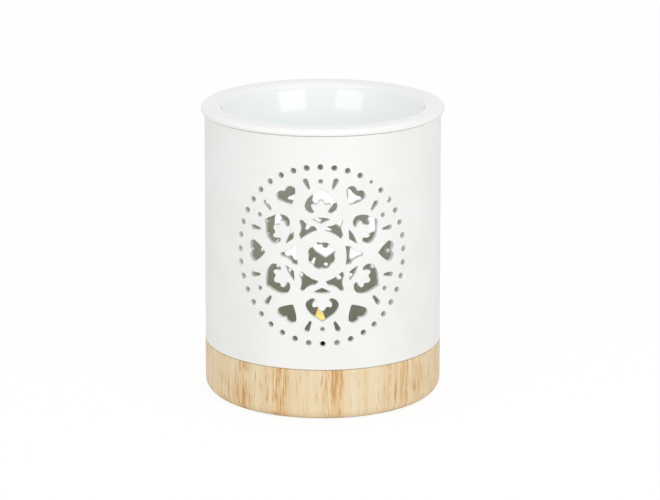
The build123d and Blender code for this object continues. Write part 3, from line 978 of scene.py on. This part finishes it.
def makeWax():
    gap, edge, sheet = tealight["waxClearance"], tealight["waxEdge"], tealight["sustainerSheet"]
    outer, disc = cupBore(waxTop) - gap, tealight["sustainerDiameter"] / 2 + gap
    collar, bore = wickRadius + tealight["sustainerClearance"] + sheet + gap, wickRadius + gap
    discTop = cupFloor + sheet + gap
    collarTop = discTop + tealight["sustainerCollar"]
    pool, skin, molten = tealight["poolRadius"], waxTop - tealight["meniscus"], waxTop - tealight["poolDepth"]
    middle = (disc + cupBore(cupFloor)) / 2
    profile = roundedPath([
        (middle, cupFloor, 0), (cupBore(cupFloor) - gap, cupFloor, tealight["cupCorner"]),
        (outer, waxTop, gap), (outer - tealight["rimWidth"], skin, tealight["rimRounding"]),
        (pool + tealight["shore"], skin, tealight["shoreRounding"]),
        (pool, molten, tealight["shoreRounding"]),
        (bore + tealight["wickSlope"], molten, tealight["wickRounding"]),
        (bore, molten + tealight["wickRise"], gap), (bore, collarTop, edge), (collar, collarTop, edge),
        (collar, discTop, edge), (disc, discTop, edge), (disc, cupFloor, edge), (middle, cupFloor, 0)])
    piece = turnedPiece("tealightWax", profile, tealight["waxSteps"])
    finishPiece(piece, "tealight", "candle_wax", ["tealight_wax"], mixed(candleWax))


def makeWick():
    # tube on the wick's line, straight up and then in an arc that leans to the left; two sets of strands
    # cross round it, and the burnt end closes to a blunt tip
    bend, straight, strands = tealight["wickBendRadius"], tealight["wickStraight"], tealight["strands"]
    share = np.concatenate([[0, 0], np.linspace(0, 1, tealight["wickRows"]), [1]])
    along = share * (straight + bend * wickLean)
    lean = np.clip((along - straight) / bend, 0, wickLean)
    level = np.zeros_like(lean)
    centre = np.stack([-bend * (1 - np.cos(lean)), level,
                       wickFoot + np.minimum(along, straight) + bend * np.sin(lean)], -1)
    angle = np.linspace(0, fullTurn, tealight["wickSides"] + 1)
    turn = fullTurn * along[:, None] / tealight["plait"]
    crest = np.maximum(np.cos(strands * angle + turn), np.cos(strands * angle - turn))
    tip = tealight["tipFrom"]
    end = 1 - np.clip((share - tip) / (1 - tip), 0, 1) ** 3
    radius = (wickRadius - tealight["plaitDepth"] * (1 - crest)) * end[:, None]
    radius[[0, -1]] = 0
    side = np.stack([np.cos(lean), level, np.sin(lean)], -1)
    across = np.cos(angle)[:, None] * side[:, None] + np.sin(angle)[:, None] * np.array([0, 1.0, 0])
    piece = gridPiece("wickBraided", centre[:, None] + radius[:, :, None] * across)
    finishPiece(piece, "tealight", "braided_cotton", ["tealight_wick"], mixed(braidedCotton))


makeCup()
makeWax()
makeWick()
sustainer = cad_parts["wick_sustainer"]
sustainer.data.materials.clear()
sustainer.data.materials.append(mixed(tinnedSteel))


# Flame

flame = {
    "foot": 21.5, "tip": 36.0,
    "radius": 2.75, "widest": 0.36, # share of its height
    "slender": 0.1,  # thins by this share on the way up
    "lean": 0.5,  # to the left of the wick's end, at the tip
    "stops": [(0.0, "#4A4A78"), (0.24, "#A08478"), (0.45, "#FFE474"),
              (0.62, "#FFF085"), (0.8, "#F6D890"), (1.0, "#E0AE66")],
    "clearTo": 24.5, "clear": 0.12, # it is thin and see-through up to there
    "fullFrom": 28.5,  # and glows in full from there
    "glow": 1.0,
    "rows": 60, "sides": 40,
}


def candleFlame(add):
    # glowing soot: see-through and dull pink at the foot, then clear yellow, paler towards the tip
    place = add("TexCoord").outputs["Object"]
    height = add("SeparateXYZ", {}, place).outputs["Z"]
    ends = {"From Min": flame["foot"] * mm, "From Max": flame["tip"] * mm}
    share = add("MapRange", ends, height)
    colour = add("ValToRGB", {"stops": flame["stops"]}, share)
    span = {"From Min": flame["clearTo"] * mm, "From Max": flame["fullFrom"] * mm, "To Min": flame["clear"]}
    shown = add("MapRange", span, height)
    dark = {"Base Color": (0, 0, 0, 1), "Specular IOR Level": 0.0, "Emission Strength": flame["glow"]}
    return add("BsdfPrincipled", dark, {"Emission Color": colour, "Alpha": shown})


def makeFlame():
    # drop of light round the wick's end: sine profile, fullest low down and drawn out to a point
    share = np.linspace(0, 1, flame["rows"])[:, None]
    power = math.log(0.5) / math.log(flame["widest"])
    radius = flame["radius"] * np.sin(halfTurn * share ** power) * (1 - flame["slender"] * share)
    radius[[0, -1]] = 0
    angle = np.linspace(0, fullTurn, flame["sides"] + 1)
    height = flame["foot"] + share * (flame["tip"] - flame["foot"])
    place = np.stack([wickEnd - flame["lean"] * share ** 2 + radius * np.cos(angle), radius * np.sin(angle),
                      height + 0 * angle], -1)
    finishPiece(gridPiece("flame", place), "tealight", None, [], mixed(candleFlame))


makeFlame()


# Floor, light and background

studio = {
    "floor": 3.0,  # metres
    "floorColour": "#F7F7F7", "floorRoughness": 0.9,
    "floorKept": 0.12,  # how much of its own light and shadow the floor shows the camera
    "floorGlow": 1.03,
    "ambient": 0.70,
    "fill": 0.0072, "fillHeight": 62.0, "fillRadius": 6.0,  # watts inside the shade, and its place in mm
    "boxAim": 70.0,  # height that the soft boxes face
    "boxes": [  # name, azimuth from the front, elevation, distance, width and height in m, watts
        ("keyLeft", -32.2, 17.0, 1.3, 0.74, 0.54, 2.4),
        ("keyRight", 38.4, 17.0, 1.3, 0.74, 0.54, 3.05),
        ("overhead", 0, 75, 1.5, 1.2, 1.2, 1.4),
    ],
}


def paleFloor(add):
    # matt white paper that shows the camera a little of its shadows and otherwise plain white
    paper = {"Base Color": studio["floorColour"], "Roughness": studio["floorRoughness"]}
    white = {"Color": (1, 1, 1, 1), "Strength": studio["floorGlow"]}
    seen = add("LightPath").outputs["Is Camera Ray"]
    share = add("Math", {"operation": "MULTIPLY", 1: 1 - studio["floorKept"]}, seen)
    return add("MixShader", {}, {0: share, 1: add("BsdfPrincipled", paper), 2: add("Emission", white)})


def makeFloor():
    size = studio["floor"]
    mesh = bpy.data.meshes.new("floor")
    corners = [(-size, -size, 0), (size, -size, 0), (size, size, 0), (-size, size, 0)]
    mesh.from_pydata(corners, [], [(0, 1, 2, 3)])
    floor = newObject("floor", mesh)
    mesh.materials.append(mixed(paleFloor))


def makeWorld():
    # full white where the camera, a mirror or a clear thing shows it, and the ambient level as a light
    world = bpy.data.worlds.new("studio")
    world.use_nodes = True
    world.node_tree.nodes.clear()
    add = partial(addNode, world.node_tree)
    path = add("LightPath")
    mirrors = {0: path.outputs["Is Glossy Ray"], 1: path.outputs["Is Transmission Ray"]}
    mirrored = add("Math", {"operation": "MAXIMUM"}, mirrors)
    seen = add("Math", {"operation": "MAXIMUM"}, {0: path.outputs["Is Camera Ray"], 1: mirrored})
    strength = add("MapRange", {"To Min": studio["ambient"], "To Max": 1.0}, seen)
    background = add("Background", {"Color": (1, 1, 1, 1)}, {"Strength": strength})
    add("OutputWorld", {}, background)
    bpy.context.scene.world = world


def makeLights():
    aim = Vector((0, 0, studio["boxAim"])) * mm
    for name, azimuth, elevation, distance, width, height, watts in studio["boxes"]:
        data = bpy.data.lights.new(name, "AREA")
        data.shape = "RECTANGLE"
        data.size, data.size_y, data.energy = width, height, watts
        lamp = newObject(name, data)
        a, e = math.radians(azimuth), math.radians(elevation)
        away = Vector((math.sin(a) * math.cos(e), -math.cos(a) * math.cos(e), math.sin(e)))
        lamp.location = aim + away * distance
        lamp.rotation_euler = away.to_track_quat("Z", "Y").to_euler()
    data = bpy.data.lights.new("insideFill", "POINT")
    data.energy, data.shadow_soft_size = studio["fill"], studio["fillRadius"] * mm
    lamp = newObject("insideFill", data)
    lamp.location = Vector((0, 0, studio["fillHeight"])) * mm
    lamp.visible_camera = False


makeFloor()
makeWorld()
makeLights()
bpy.context.scene.view_settings.view_transform = "Standard"
print("floor and lights placed")
